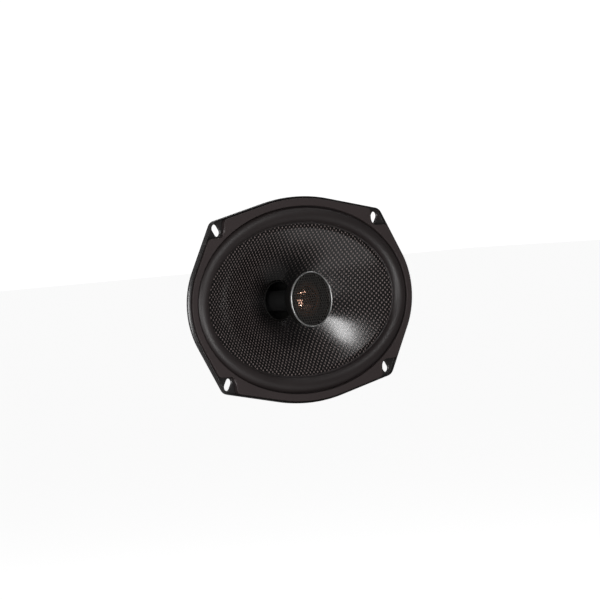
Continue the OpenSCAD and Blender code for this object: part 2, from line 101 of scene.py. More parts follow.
OPENING_A, OPENING_B = 112.5, 75.0
EDGE_INSET, EDGE_WIDTH, EDGE_HEIGHT = 0.3, 0.8, 2.7
TRIM_INSET = EDGE_INSET + EDGE_WIDTH + 0.7
FLANGE_BACK = front_of("mounting_gasket")
FLANGE_FRONT = back_of("trim_ring")
EDGE_TOP = FLANGE_FRONT + EDGE_HEIGHT
TRIM_FRONT = front_of("trim_ring")
SHEET = FLANGE_FRONT - FLANGE_BACK
ROLL_START, ROLL_WIDTH = 0.8, 12.2
BARE_LIP = 3.4
ROLL_HEIGHT = 5.2
CONE_INSET = 17.4
CONE_TOP = front_of("cone")
NECK_Z = -26.0
NECK_RADIUS = half_width("voice_coil_former")
CONE_STRAIGHT = 0.75
CONE_SHEET = 0.7
LAND = 0.6

LIP_Z = -9.0
LEDGE_Z = -30.0
CUP_FLOOR_Z = -44.0
CUP_RADIUS = 52.0
LEDGE_RADIUS = 57.5
SPIDER_RADIUS = 54.0
WALL_A, WALL_B = OPENING_A - 1.7, OPENING_B - 1.4
CUP_SHEET = 1.5
SPOKES = {0: 22, 44: 14, 136: 14, 180: 22, 224: 14, 316: 14}    # angle and width
TERMINAL_SPOKE = 180
LEAD_HOLE_X = -66.0

# Motor
POLE_RADIUS = 15.0
PLATE_BORE = 17.1
MAGNET_BORE = 24.0
CUP_BORE = 26.0
RIVET_CIRCLE = 36.0

# Terminals: their board's outer face, and how far each tab is from the middle
BOARD_X = -56.0
TAB_Y = 5.9

# Tweeter and the post that carries it
BEZEL_RADIUS = half_width("tweeter_bezel")
TWEETER_FRONT = front_of("tweeter_bezel")
HOUSING_FRONT = back_of("tweeter_bezel")
GRILLE_FRONT = front_of("tweeter_grille")
DIAPHRAGM_Z = back_of("tweeter_dome")
POST_RADIUS, POST_SEAT, POST_BORE = 8.0, 8.05, 3.2
STUD_RADIUS, STUD_HOLE = 5.0, 5.05

# Camera: its direction round and above the speaker, its roll, distance and lens
VIEW_AZIMUTH, VIEW_ELEVATION, VIEW_ROLL = map(math.radians, (-41.95, 1.52, -4.44))
VIEW_DISTANCE, VIEW_LENS = 2.938, 220.6
VIEW_SHIFT = (-0.0004, -0.0005)
VIEW_FORWARD = Vector((
    -math.sin(VIEW_AZIMUTH) * math.cos(VIEW_ELEVATION),
    math.cos(VIEW_AZIMUTH) * math.cos(VIEW_ELEVATION),
    -math.sin(VIEW_ELEVATION)
))


def place(x, y, z):
    """The frame's metres for a point in millimetres about the drive axis."""
    return Vector((x * MM, -z * MM, y * MM))


def half_axes(u):
    """Half axes of the oval that lies u inside the opening."""
    return OPENING_A - 0.977 * u, OPENING_B - 1.023 * u


# ---- materials

class Nodes:
    """A short way to write a node tree."""

    def __init__(self, tree):
        self.tree = tree

    def node(self, kind, inputs=None, **properties):
        made = self.tree.nodes.new(kind)
        for key, value in properties.items():
            setattr(made, key, value)
        for key, value in (inputs or {}).items():
            self.feed(made.inputs[key], value)
        return made

    def feed(self, socket, value):
        if isinstance(value, bpy.types.NodeSocket):
            self.tree.links.new(value, socket)
        else:
            socket.default_value = value

    def math(self, operation, a, b=None, clamp=False):
        inputs = {0: a} if b is None else {0: a, 1: b}
        made = self.node("ShaderNodeMath", inputs, operation=operation, use_clamp=clamp)
        return made.outputs[0]

    def span(self, value, low, high, from_low=0.0, from_high=1.0):
        """The value, carried from one range to another."""
        made = self.node(
            "ShaderNodeMapRange",
            {"Value": value, "From Min": from_low, "From Max": from_high,
             "To Min": low, "To Max": high},
        )
        return made.outputs["Result"]


class Graph(Nodes):
    """The nodes of one material, over its object's coordinates in metres."""

    def __init__(self, name, **sockets):
        self.material = bpy.data.materials.new(name)
        self.material.use_nodes = True
        super().__init__(self.material.node_tree)
        self.shader = self.tree.nodes["Principled BSDF"]
        for label, value in sockets.items():
            self.shader.inputs[label.replace("_", " ")].default_value = value
        self.coords = self.node("ShaderNodeTexCoord").outputs["Object"]

    def xyz(self):
        return self.node("ShaderNodeSeparateXYZ", {"Vector": self.coords}).outputs

    def axis_distance(self):
        """How far a point is from the drive axis."""
        x, _, z = self.xyz()
        squares = self.math("POWER", x, 2.0), self.math("POWER", z, 2.0)
        return self.math("SQRT", self.math("ADD", *squares))

    def mix(self, share, a, b):
        """a at share 0, b at share 1, for numbers."""
        return self.math("ADD", a, self.math("MULTIPLY", share, self.math("SUBTRACT", b, a)))

    def noise(self, scale, detail=2.0, roughness=0.5, coords=None):
        made = self.node(
            "ShaderNodeTexNoise",
            {"Vector": coords or self.coords, "Scale": scale, "Detail": detail,
             "Roughness": roughness},
        )
        return made.outputs["Fac"]

    def stretched(self, x, y, z):
        """The coordinates, scaled unevenly for brushed or drawn grain."""
        made = self.node("ShaderNodeMapping", {"Vector": self.coords, "Scale": (x, y, z)})
        return made.outputs["Vector"]

    def blend(self, share, first, second):
        """The first colour at share 0, the second at share 1."""
        colours = [(*c, 1.0) if isinstance(c, tuple) else c for c in (first, second)]
        made = self.node("ShaderNodeMix", data_type="RGBA")
        for index, value in zip((0, 6, 7), (share, *colours)):
            self.feed(made.inputs[index], value)
        return made.outputs[2]

    def finished(self, colour, roughness, height, depth):
        """The material, with its colour, its roughness and a relief of the given depth."""
        relief = self.node("ShaderNodeBump", {"Height": height, "Distance": depth})
        for label, value in (("Base Color", colour), ("Roughness", roughness),
                             ("Normal", relief.outputs["Normal"])):
            self.feed(self.shader.inputs[label], value)
        return self.material


def darker(colour, share):
    return tuple(c * share for c in colour)


def moulded(name, colour, roughness, patch=0.14, **sockets):
    """Plastic or paint with a fine moulded grain and faint patches."""
    g = Graph(name, **sockets)
    patches = g.noise(38.0, detail=3.0)
    fine = g.noise(1.0 / 0.00045)
    return g.finished(
        g.blend(patches, darker(colour, 1 - patch), darker(colour, 1 + patch)),
        g.span(fine, roughness - 0.06, roughness + 0.08), fine, 0.00004
    )


def plated(name, colour, roughness, depth=0.00001):
    """Bare or plated metal with drawn grain and slight staining."""
    g = Graph(name, Metallic=1.0)
    grain = g.noise(1.0, detail=4.0, coords=g.stretched(60.0, 900.0, 60.0))
    stain = g.noise(55.0, detail=4.0, roughness=0.65)
    worn = g.math("MULTIPLY", grain, stain)
    return g.finished(
        g.blend(stain, darker(colour, 0.78), colour),
        g.span(worn, roughness - 0.08, roughness + 0.16, 0.1, 0.5), grain, depth
    )


def turned(name, colour, roughness, painted_shade_depth):
    """Turned steel: fine rings about the drive axis, with painted shade, black, in front of a
    given depth.
    """
    g = Graph(name, Metallic=1.0)
    depth_in = g.xyz()[1]
    flat = {"X": g.axis_distance(), "Y": depth_in, "Z": 0.0}
    rings = g.noise(1.0 / 0.0006, detail=1.0,
                    coords=g.node("ShaderNodeCombineXYZ", flat).outputs[0])
    stain = g.noise(45.0, detail=4.0, roughness=0.6)
    # Painted shade: the steel in front of the depth, the pole's front in the neck, is coloured
    # black.
    painted_shade = g.math("LESS_THAN", depth_in, painted_shade_depth)
    return g.finished(
        g.blend(painted_shade, g.blend(stain, darker(colour, 0.75), colour), (0.02, 0.02, 0.02)),
        g.span(g.math("ADD", rings, stain), roughness - 0.08, roughness + 0.14, 0.6, 1.4),
        rings, 0.00001
    )


def plain_weave(g, pitch):
    """A plain weave over the plan: its height, which threads are on top, and place across."""
    x, _, z = g.xyz()
    u, v = g.math("DIVIDE", x, pitch), g.math("DIVIDE", z, pitch)
    over = g.math("PINGPONG", g.math("ADD", g.math("FLOOR", u), g.math("FLOOR", v)), 1.0)
    fu = g.math("SUBTRACT", g.math("FRACT", u), 0.5)
    fv = g.math("SUBTRACT", g.math("FRACT", v), 0.5)
    along = g.mix(over, fv, fu)
    across = g.mix(over, fu, fv)
    crown = g.math("COSINE", g.math("MULTIPLY", along, math.pi))
    width = g.math("POWER", g.math("MULTIPLY", across, 1.9), 2.0)
    tow = g.math("SQRT", g.math("SUBTRACT", 1.0, width, clamp=True))
    height = g.math("MULTIPLY", tow, g.math("ADD", g.math("MULTIPLY", crown, 0.75), 0.25))
    return height, over, across


def woven_cone_material():
    """Glossy woven fibre with painted glints, and painted shade in its gaps and round the neck.
    """
    g = Graph("woven_cone", Coat_Weight=0.8, Coat_Roughness=0.19, Coat_IOR=2.1,
              Specular_IOR_Level=0.12)
    height, over, across = plain_weave(g, 0.00199)
    strands = g.math("SINE", g.math("MULTIPLY", across, 44.0))
    relief = g.math("ADD", height, g.math("MULTIPLY", strands, 0.05))
    # Painted shade: the weave goes black towards the neck, round the tweeter.
    painted_neck_shade = g.span(g.axis_distance(), 0.15, 1.0, 0.022, 0.044)
    # Painted glints and shade: light on the threads' crowns, dark in the gaps between them.
    painted_glint_and_shade = g.math("MULTIPLY", g.math("POWER", height, 3.0), painted_neck_shade)
    # Painted glints: one family of threads light and the other near black, lit and shaded copies
    # of one fibre.
    thread = g.blend(over, (0.006, 0.0042, 0.0042), (0.290, 0.232, 0.224))
    return g.finished(g.blend(painted_glint_and_shade, (0.0010, 0.0009, 0.0009), thread),
                      g.span(height, 0.80, 0.40), relief, 0.00028)


def cloth_disc_material(name, colour, pitch, roughness=0.85):
    g = Graph(name)
    height, over, _ = plain_weave(g, pitch)
    thread = g.blend(g.noise(60.0, detail=3.0), darker(colour, 0.75), colour)
    # Painted shade: darker in the gaps between the threads.
    return g.finished(g.blend(height, darker(colour, 0.3), thread),
                      g.span(over, roughness - 0.1, roughness), height, pitch * 0.3)


def rubber_material():
    g = Graph("surround_rubber", Specular_IOR_Level=0.8)
    haze = g.noise(26.0, detail=3.0)
    pores = g.noise(2600.0, detail=1.0)
    return g.finished(g.blend(haze, (0.0180, 0.0130, 0.0128), (0.0260, 0.0190, 0.0185)),
                      g.span(haze, 0.44, 0.52), pores, 0.00001)


def foam_material():
    g = Graph("foam_gasket")
    cells = g.node("ShaderNodeTexVoronoi", {"Vector": g.coords, "Scale": 1700.0})
    depth = cells.outputs["Distance"]
    return g.finished(g.blend(depth, (0.006, 0.006, 0.006), (0.03, 0.03, 0.03)),
                      g.span(depth, 0.95, 0.8), depth, 0.0001)


def ferrite_material():
    g = Graph("ferrite")
    grit = g.noise(1400.0, detail=3.0, roughness=0.7)
    chips = g.noise(130.0, detail=4.0, roughness=0.7)
    return g.finished(g.blend(chips, (0.020, 0.020, 0.022), (0.060, 0.060, 0.064)),
                      g.span(grit, 0.52, 0.78), grit, 0.00006)


def board_material():
    g = Graph("fibre_board")
    fibres = g.noise(1.0, detail=5.0, coords=g.stretched(150.0, 900.0, 300.0))
    specks = g.noise(900.0)
    return g.finished(g.blend(fibres, (0.150, 0.075, 0.030), (0.330, 0.190, 0.085)),
                      g.span(specks, 0.48, 0.7), fibres, 0.00003)


def wound_material():
    g = Graph("copper_winding", Metallic=1.0)
    turns = g.math("ABSOLUTE", g.math("SINE", g.math("MULTIPLY", g.xyz()[1], math.pi / 0.0004)))
    return g.finished(g.blend(g.noise(300.0), (0.52, 0.20, 0.09), (0.70, 0.32, 0.16)),
                      g.span(turns, 0.45, 0.25), turns, 0.00012)


def tinsel_material():
    g = Graph("tinsel", Metallic=0.85)
    braid = g.node("ShaderNodeTexWave", {"Vector": g.coords, "Scale": 420.0, "Distortion": 1.5},
                   bands_direction="DIAGONAL").outputs["Fac"]
    return g.finished(g.blend(braid, (0.16, 0.07, 0.035), (0.66, 0.36, 0.20)),
                      g.span(braid, 0.6, 0.36), braid, 0.00015)


def dome_material():
    g = Graph("dome_foil", Metallic=0.97, Coat_Weight=0.3, Coat_Roughness=0.1)
    haze = g.noise(420.0, detail=3.0)
    return g.finished(g.blend(haze, (0.50, 0.27, 0.19), (0.62, 0.36, 0.26)),
                      g.span(haze, 0.10, 0.18), haze, 0.00001)


def steel_sheet_material():
    """Stamped steel, painted a warm black, with fine orange peel and rubbed places."""
    g = Graph("stamped_steel", Specular_IOR_Level=0.5)
    peel = g.noise(700.0)
    rubbed = g.span(g.noise(70.0, detail=5.0, roughness=0.7), 0.0, 1.0, 0.55, 0.75)
    return g.finished(g.blend(rubbed, (0.022, 0.020, 0.020), (0.040, 0.037, 0.036)),
                      g.span(peel, 0.36, 0.5), peel, 0.00003)


materials = {
    "stamped_steel": steel_sheet_material(),
    "foam_gasket": foam_material(),
    "moulded_trim": moulded("moulded_trim", (0.042, 0.0310, 0.0308), 0.58),
    "surround_rubber": rubber_material(),
    "woven_cone": woven_cone_material(),
    "coil_former": moulded("coil_former", (0.012, 0.0115, 0.011), 0.45),
    "copper_winding": wound_material(),
    "spider_cloth": cloth_disc_material("spider_cloth", (0.42, 0.29, 0.09), 0.0008),
    # The pole's front is coloured black as painted shade.
    "plated_steel": turned("plated_steel", (0.50, 0.50, 0.51), 0.36, painted_shade_depth=0.0475),
    "ferrite": ferrite_material(),
    "rivet_metal": plated("rivet_metal", (0.70, 0.70, 0.71), 0.32),
    "post_plastic": moulded("post_plastic", (0.012, 0.012, 0.012), 0.5),
    "housing_plastic": moulded("housing_plastic", (0.0085, 0.0078, 0.0074), 0.40, patch=0.08),
    "neodymium": plated("neodymium", (0.80, 0.80, 0.82), 0.18),
    "dome_foil": dome_material(),
    "dome_cloth": cloth_disc_material("dome_cloth", (0.10, 0.05, 0.03), 0.0005, 0.7),
    "grille_metal": moulded("grille_metal", (0.070, 0.066, 0.062), 0.36, Metallic=0.6),
    "bright_bezel": plated("bright_bezel", (0.86, 0.86, 0.85), 0.40, depth=0.000001),
    "fibre_board": board_material(),
    "tab_metal": plated("tab_metal", (0.74, 0.63, 0.38), 0.30),
    "capacitor_sleeve": moulded("capacitor_sleeve", (0.012, 0.015, 0.026), 0.26),
    "tinsel": tinsel_material(),
    "wire_jacket": moulded("wire_jacket", (0.020, 0.020, 0.021), 0.42),
}

node_slots = {row["node"]: row["material_slot"] for row in frame["record"]["subparts"]}
for node_name, node_object in frame["nodes"].items():
    node_object.data.materials.clear()
    node_object.data.materials.append(materials[node_slots[node_name]])


# ---- mesh makers

def finish_piece(piece, slot_name, body, replaced=()):
    """Gives a piece its material and its body, and hides the CAD nodes that it stands for."""
    piece.data.materials.clear()
    piece.data.materials.append(materials[slot_name])
    if body:
        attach(piece, body)
    if replaced:
        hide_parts(*replaced)


def linked(name, mesh):
    piece = bpy.data.objects.new(name, mesh)
    bpy.context.scene.collection.objects.link(piece)
    shade(piece)
    return piece


def link_mesh(name, vertices, faces):
    """A clean mesh object from vertices and faces."""
    mesh = bpy.data.meshes.new(name)
    mesh.from_pydata([tuple(v) for v in vertices], [], faces)
    bm = bmesh.new()
    bm.from_mesh(mesh)
    bmesh.ops.remove_doubles(bm, verts=bm.verts, dist=1e-7)
    bmesh.ops.dissolve_degenerate(bm, edges=bm.edges, dist=1e-8)
    bmesh.ops.recalc_face_normals(bm, faces=bm.faces)
    bm.to_mesh(mesh)
    bm.free()
    return linked(name, mesh)


def shade(piece, smooth_angle=32.0):
    """Smooth shading that keeps edges sharper than the angle, and flat faces flat."""
    piece.data.shade_smooth()
    piece.data.set_sharp_from_angle(angle=math.radians(smooth_angle))
    for polygon in piece.data.polygons:
        polygon.use_smooth = abs(polygon.normal.y) < 0.99999


def join(name, parts):
    """One mesh from several closed ones."""
    bm = bmesh.new()
    for part in parts:
        bm.from_mesh(part.data)
        mesh = part.data
        bpy.data.objects.remove(part)
        bpy.data.meshes.remove(mesh)
    mesh = bpy.data.meshes.new(name)
    bm.to_mesh(mesh)
    bm.free()
    return linked(name, mesh)


def arc(cx, cy, radius, start, end, steps):
    turns = [math.radians(start + (end - start) * i / steps) for i in range(steps + 1)]
    return [(cx + radius * math.cos(t), cy + radius * math.sin(t)) for t in turns]


def circle(cx, cy, radius, sides):
    return arc(cx, cy, radius, 0, 360 - 360 / sides, sides - 1)


def full_turn(steps):
    return [2 * math.pi * i / steps for i in range(steps)]


def bend(first, corner, last, t):
    """A point of the curve from first to last that is drawn towards a corner."""
    return tuple(first * (1 - t) ** 2 + corner * 2 * t * (1 - t) + last * t * t)


def rounded(points, radius, steps=4):
    """A closed outline with every corner rounded, as far as its sides allow."""
    out = []
    count = len(points)
    for i, corner in enumerate(points):
        before, here = Vector(points[i - 1]), Vector(corner)
        after = Vector(points[(i + 1) % count])
        to_before, to_after = before - here, after - here
        angle = to_before.angle(to_after)
        if math.pi - angle < math.radians(12):
            out.append(tuple(here))
            continue
        reach = min(radius / math.tan(angle / 2), 0.45 * to_before.length, 0.45 * to_after.length)
        first = here + to_before.normalized() * reach
        last = here + to_after.normalized() * reach
        out += [bend(first, here, last, k / steps) for k in range(steps + 1)]
    return out


def swept_rings(rings, closed_section=True):
    """Faces between rings of equal length, each ring closed round the axis."""
    count, size = len(rings), len(rings[0])
    faces = []
    for j in range(count if closed_section else count - 1):
        k = (j + 1) % count
        for i in range(size):
            n = (i + 1) % size
            faces.append((j * size + i, j * size + n, k * size + n, k * size + i))
    return [v for ring in rings for v in ring], faces


def lathe(name, section, segments=ROUND_SEGMENTS, corner=0.0):
    """A closed section of (radius, height) turned about the drive axis."""
    points = rounded(section, corner) if corner else section
    turn = full_turn(segments)
    rings = [[place(r * math.cos(t), r * math.sin(t), z) for t in turn] for r, z in points]
    return link_mesh(name, *swept_rings(rings))


def band(inner, outer, back, front):
    """The section of a flat ring."""
    return [(inner, back), (outer, back), (outer, front), (inner, front)]


def turned_piece(name, section, slot_name, node, corner=0.0, segments=ROUND_SEGMENTS):
    """A finished fixed piece, turned about the drive axis."""
    finish_piece(lathe(name, section, segments, corner), slot_name, FIXED, [node])


def oval_loft(name, section, segments=OVAL_SEGMENTS):
    """A closed section of (half length, half width, height) carried round the oval."""
    turn = full_turn(segments)
    rings = [[place(a * math.cos(t), b * math.sin(t), z) for t in turn] for a, b, z in section]
    return link_mesh(name, *swept_rings(rings))


def directed(loop, anticlockwise):
    """The loop, turned so that its material lies on the left of every side."""
    area = sum(x0 * y1 - x1 * y0 for (x0, y0), (x1, y1) in zip(loop, loop[1:] + loop[:1]))
    return loop if (area > 0) == anticlockwise else loop[::-1]


def drawn_in(loop, amount):
    """The loop moved into its material by the given amount."""
    out = []
    for i, here in enumerate(loop):
        before, after = Vector(loop[i - 1]), Vector(loop[(i + 1) % len(loop)])
        first, second = Vector(here) - before, after - Vector(here)
        normals = [Vector((-side.y, side.x)).normalized() for side in (first, second)]
        middle = (normals[0] + normals[1]).normalized()
        reach = amount / max(middle.dot(normals[0]), 0.5)
        out.append((here[0] + middle.x * reach, here[1] + middle.y * reach))
    return out


def filled(loops):
    """Triangles between an outline and its holes, as indices into the joined loops."""
    points = [Vector(p) for loop in loops for p in loop]
    owner = [n for n, loop in enumerate(loops) for _ in loop]
    edges = []
    start = 0
    for loop in loops:
        edges += [(start + i, start + (i + 1) % len(loop)) for i in range(len(loop))]
        start += len(loop)
    _, _, faces, sources, _, _ = delaunay_2d_cdt(points, edges, [], 1, 1e-6)
    out = []
    for face in faces:
        corners = [sources[i][0] for i in face]
        owners = {owner[i] for i in corners}
        if owners != {max(owners)} or 0 in owners:
            out.append(corners)
    return out


def plate(name, outline, holes, back, front, bevel, steps=3):
    """A flat plate with convex holes and rounded edges, from closed outlines in the plan."""
    loops = [directed(outline, True)] + [directed(hole, False) for hole in holes]
    turns = [math.pi / 2 * i / steps for i in range(steps + 1)]
    stations = [(bevel * (1 - math.sin(t)), back + bevel * (1 - math.cos(t))) for t in turns]
    stations += [(inset, front + back - z) for inset, z in reversed(stations)]
    rings = [[drawn_in(loop, inset) for loop in loops] for inset, _ in stations]
    vertices = [place(x, y, z) for ring, (_, z) in zip(rings, stations)
                for loop in ring for x, y in loop]
    size = sum(len(loop) for loop in loops)
    last = (len(stations) - 1) * size
    faces = []
    for corners in filled(rings[0]):
        faces.append(corners)
        faces.append([last + i for i in reversed(corners)])
    start = 0
    for loop in loops:
        count = len(loop)
        for station in range(len(stations) - 1):
            low, high = station * size + start, (station + 1) * size + start
            faces += [(low + i, low + (i + 1) % count, high + (i + 1) % count, high + i)
                      for i in range(count)]
        start += count
    return link_mesh(name, vertices, faces)


def prism(name, outline, frame_of, low, high, bevel=0.0):
    """An outline carried from low to high; frame_of(x, y, t) gives each point's place."""
    count = len(outline)
    vertices = [frame_of(x, y, t) for t in (low, high) for x, y in outline]
    faces = [tuple(range(count - 1, -1, -1)), tuple(range(count, 2 * count))]
    faces += [(i, (i + 1) % count, count + (i + 1) % count, count + i) for i in range(count)]
    piece = link_mesh(name, vertices, faces)
    if bevel:
        soften(piece, bevel)
    return piece


def soften(piece, width, segments=2):
    """Rounds a mesh's sharp edges for good."""
    bm = bmesh.new()
    bm.from_mesh(piece.data)
    edges = [
        e for e in bm.edges
        if len(e.link_faces) == 2 and e.calc_face_angle(0.0) > math.radians(25)
    ]
    bmesh.ops.bevel(bm, geom=edges, offset=width * MM, segments=segments, affect="EDGES",
                    clamp_overlap=True)
    bm.to_mesh(piece.data)
    bm.free()
    shade(piece)


def drill_through(piece, centres, radius, back, front):
    """Cuts round holes along the drive axis through a closed piece."""
    for x, y in centres:
        drill = prism("drill", circle(x, y, radius, 24), place, back, front)
        cutter = piece.modifiers.new("drill", "BOOLEAN")
        cutter.operation = "DIFFERENCE"
        cutter.solver = "EXACT"
        cutter.object = drill
        solved = piece.evaluated_get(bpy.context.evaluated_depsgraph_get())
        cut = bpy.data.meshes.new_from_object(solved)
        piece.modifiers.clear()
        piece.data = cut
        bpy.data.objects.remove(drill)


def smooth_route(points, steps):
    """A Catmull-Rom curve through the points."""
    route = [Vector(p) for p in points]
    out = []
    for i in range(len(route) - 1):
        a, b = route[max(i - 1, 0)], route[i]
        c, d = route[i + 1], route[min(i + 2, len(route) - 1)]
        for s in range(steps):
            t = s / steps
            out.append(0.5 * (2 * b + (c - a) * t + (2 * a - 5 * b + 4 * c - d) * t * t
                              + (3 * b - a - 3 * c + d) * t ** 3))
    out.append(route[-1])
    return out


def tube(name, points, radius, steps=8, sides=12, side=(0, 1, 0)):
    """A round wire along a route, with rounded ends."""
    route = smooth_route(points, steps)
    last = len(route) - 1
    rings = []
    for i, centre in enumerate(route):
        along = (route[min(i + 1, last)] - route[max(i - 1, 0)]).normalized()
        across = along.cross(Vector(side)).normalized()
        up = across.cross(along)
        rings.append([place(*(centre + radius * (math.cos(t) * across + math.sin(t) * up)))
                      for t in full_turn(sides)])
    vertices, faces = swept_rings(rings, closed_section=False)
    faces.append(tuple(range(sides - 1, -1, -1)))
    faces.append(tuple(range(last * sides, (last + 1) * sides)))
    return link_mesh(name, vertices, faces)


def weigh(piece, share_of):
    """Attaches a flexible piece to the fixed body; each point's share of travel is worked out but
    not used.
    """
    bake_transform(piece)
    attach(piece, FIXED)
    shares = [share_of(v.co) for v in piece.data.vertices]


def ease(t):
    """A soft step from 0 to 1."""
    t = min(max(t, 0.0), 1.0)
    return t * t * (3 - 2 * t)


# ---- flange outline

def unit(angle):
    return Vector((math.cos(math.radians(angle)), math.sin(math.radians(angle))))


def corner_centre():
    """Where a corner arc touches the tangents from the end arc and from the side arc."""
    n_end, n_side = unit(END_ANGLE), unit(SIDE_ANGLE)
    reach_end = n_end.x * (HALF_LENGTH - END_RADIUS) + END_RADIUS - CORNER_RADIUS
    reach_side = n_side.y * (HALF_HEIGHT - SIDE_RADIUS) + SIDE_RADIUS - CORNER_RADIUS
    det = n_side.x * n_end.y - n_side.y * n_end.x
    return ((reach_side * n_end.y - n_side.y * reach_end) / det,
            (n_side.x * reach_end - reach_side * n_end.x) / det)


def mirrored(quarter):
    """A closed outline from its first quarter, which runs from +X round to +Y."""
    upper = quarter + [(-x, y) for x, y in reversed(quarter)]
    loop = upper + [(x, -y) for x, y in reversed(upper)]
    out = []
    for point in loop:
        if not out or math.dist(point, out[-1]) > 1e-4:
            out.append(point)
    if math.dist(out[0], out[-1]) < 1e-4:
        out.pop()
    return out


def flange_quarter(inset):
    cx, cy = corner_centre()
    return (
        arc(HALF_LENGTH - END_RADIUS, 0, END_RADIUS - inset, 0, END_ANGLE, 20)
        + arc(cx, cy, CORNER_RADIUS - inset, END_ANGLE, SIDE_ANGLE, 12)
        + arc(0, HALF_HEIGHT - SIDE_RADIUS, SIDE_RADIUS - inset, SIDE_ANGLE, 90, 16)
    )


def shortened(path, reach):
    """A path without its first stretch of the given length."""
    for i, (here, after) in enumerate(zip(path, path[1:])):
        length = math.dist(here, after)
        if length > reach:
            t = reach / length
            cut = (here[0] + (after[0] - here[0]) * t, here[1] + (after[1] - here[1]) * t)
            return [cut] + path[i + 1:]
        reach -= length
    return path[-1:]


def turned_corner(first, last, reach, steps=6):
    """Two paths that meet at a corner, joined by a curve instead."""
    corner = Vector(last[0])
    first = shortened(first[::-1], reach)[::-1]
    last = shortened(last, reach)
    a, b = Vector(first[-1]), Vector(last[0])
    return first + [bend(a, corner, b, k / steps) for k in range(1, steps)] + last


def trim_quarter(inset):
    """The flange's outline with the pocket over the slot cut out of it."""
    whole = flange_quarter(inset)
    left, low = SLOT_X - POCKET_RADIUS, SLOT_Y - POCKET_RADIUS

    def crossing(index, level):
        for (x0, y0), (x1, y1) in zip(whole, whole[1:]):
            a, b = (x0, y0)[index], (x1, y1)[index]
            if min(a, b) <= level <= max(a, b) and a != b:
                t = (level - a) / (b - a)
                return x0 + (x1 - x0) * t, y0 + (y1 - y0) * t

    right_point, top_point = crossing(1, low), crossing(0, left)
    end_side = [p for p in whole if p[1] < low] + [right_point]
    long_side = [top_point] + [p for p in whole if p[0] < left]
    notch = [right_point] + arc(SLOT_X, SLOT_Y, POCKET_RADIUS, 270, 180, 12) + [top_point]
    return turned_corner(turned_corner(end_side, notch, 3.5), long_side, 3.5)


def outline_loft(name, section):
    """A closed section of (inset from the flange's outline, height) carried round it."""
    rings = [[place(x, y, z) for x, y in mirrored(flange_quarter(inset))] for inset, z in section]
    return link_mesh(name, *swept_rings(rings))


def slot_loop(sx, sy):
    reach, end = (SLOT_LENGTH - SLOT_WIDTH) / 2, SLOT_WIDTH / 2
    loop = arc(reach, 0, end, -90, 90, 12) + arc(-reach, 0, end, 90, 270, 12)
    turn = unit(SLOT_ANGLE)
    return [
        (sx * (SLOT_X + x * turn.x - y * turn.y), sy * (SLOT_Y + x * turn.y + y * turn.x))
        for x, y in loop
    ]


def slot_loops():
    return [slot_loop(sx, sy) for sx in (1, -1) for sy in (1, -1)]


def oval_loop(a, b, steps=OVAL_SEGMENTS):
    return [(a * math.cos(t), b * math.sin(t)) for t in full_turn(steps)]


# ---- frame pieces

def build_trim():
    outer = mirrored(trim_quarter(TRIM_INSET))
    piece = plate("trim", outer, [oval_loop(OPENING_A, OPENING_B)],
                  FLANGE_FRONT, TRIM_FRONT, 0.5)
    finish_piece(piece, "moulded_trim", FIXED, ["trim_ring"])


def build_gasket():
    piece = plate("gasket", mirrored(flange_quarter(0.6)),
                  [oval_loop(WALL_A + 0.5, WALL_B + 0.5), *slot_loops()],
                  0.0, FLANGE_BACK, 0.12)
    finish_piece(piece, "foam_gasket", FIXED, ["mounting_gasket"])


def oval_reach(a, b, phi):
    c, s = math.cos(math.radians(phi)), math.sin(math.radians(phi))
    return a * b / math.hypot(b * c, a * s)


def spoke_mesh(phi, width):
    """A pressed arm: a web between two folded edges, running from the rim wall to the cup."""
    stations = 14
    sheet = 1.2
    rib_height = 4.6
    across = [-1.0, -0.86, -0.74, -0.4, 0.0, 0.4, 0.74, 0.86, 1.0]
    turn = Matrix.Rotation(math.radians(phi), 2)

    def wall_reach(offset):
        """Distance along the arm at which a line this far to its side meets the rim wall."""
        low, high = 40.0, 130.0
        for _ in range(30):
            middle = (low + high) / 2
            point = turn @ Vector((middle, offset))
            inside = math.hypot(point.x / (WALL_A - 0.6), point.y / (WALL_B - 0.6)) < 1
            low, high = (middle, high) if inside else (low, middle)
        return low

    rim_r, rim_z = oval_reach(WALL_A, WALL_B, phi) - 3.5, LIP_Z - 0.3
    ledge_r, ledge_z = LEDGE_RADIUS + 1, LEDGE_Z - 0.1
    end_r = CUP_RADIUS - 0.7

    def top_height(r):
        t = min(max((r - ledge_r) / (rim_r - ledge_r), 0.0), 1.0)
        return ledge_z + (rim_z - ledge_z) * t

    def edge_drop(share, t):
        fold = max(0.0, (abs(share) - 0.80) / 0.20)
        return ease(fold) * rib_height * ease(t / 0.35)

    def surface_point(share, t, narrowed, below):
        offset = share * width / 2 * narrowed
        outer = wall_reach(offset)
        r = outer + (end_r - outer) * t
        point = turn @ Vector((r, offset))
        return place(point.x, point.y, top_height(r) - edge_drop(share, t) - below)

    rings = []
    for j in range(stations + 1):
        t = j / stations
        ring = [surface_point(share, t, 1.0, 0.0) for share in across]
        ring += [surface_point(share, t, 0.90 if abs(share) > 0.8 else 1.0, sheet)
                 for share in reversed(across)]
        rings.append(ring)
    vertices, faces = swept_rings(rings, closed_section=False)
    size = len(rings[0])
    faces.append(tuple(range(size)))
    faces.append(tuple(range(stations * size, (stations + 1) * size)))
    return link_mesh(f"spoke_{phi}", vertices, faces)


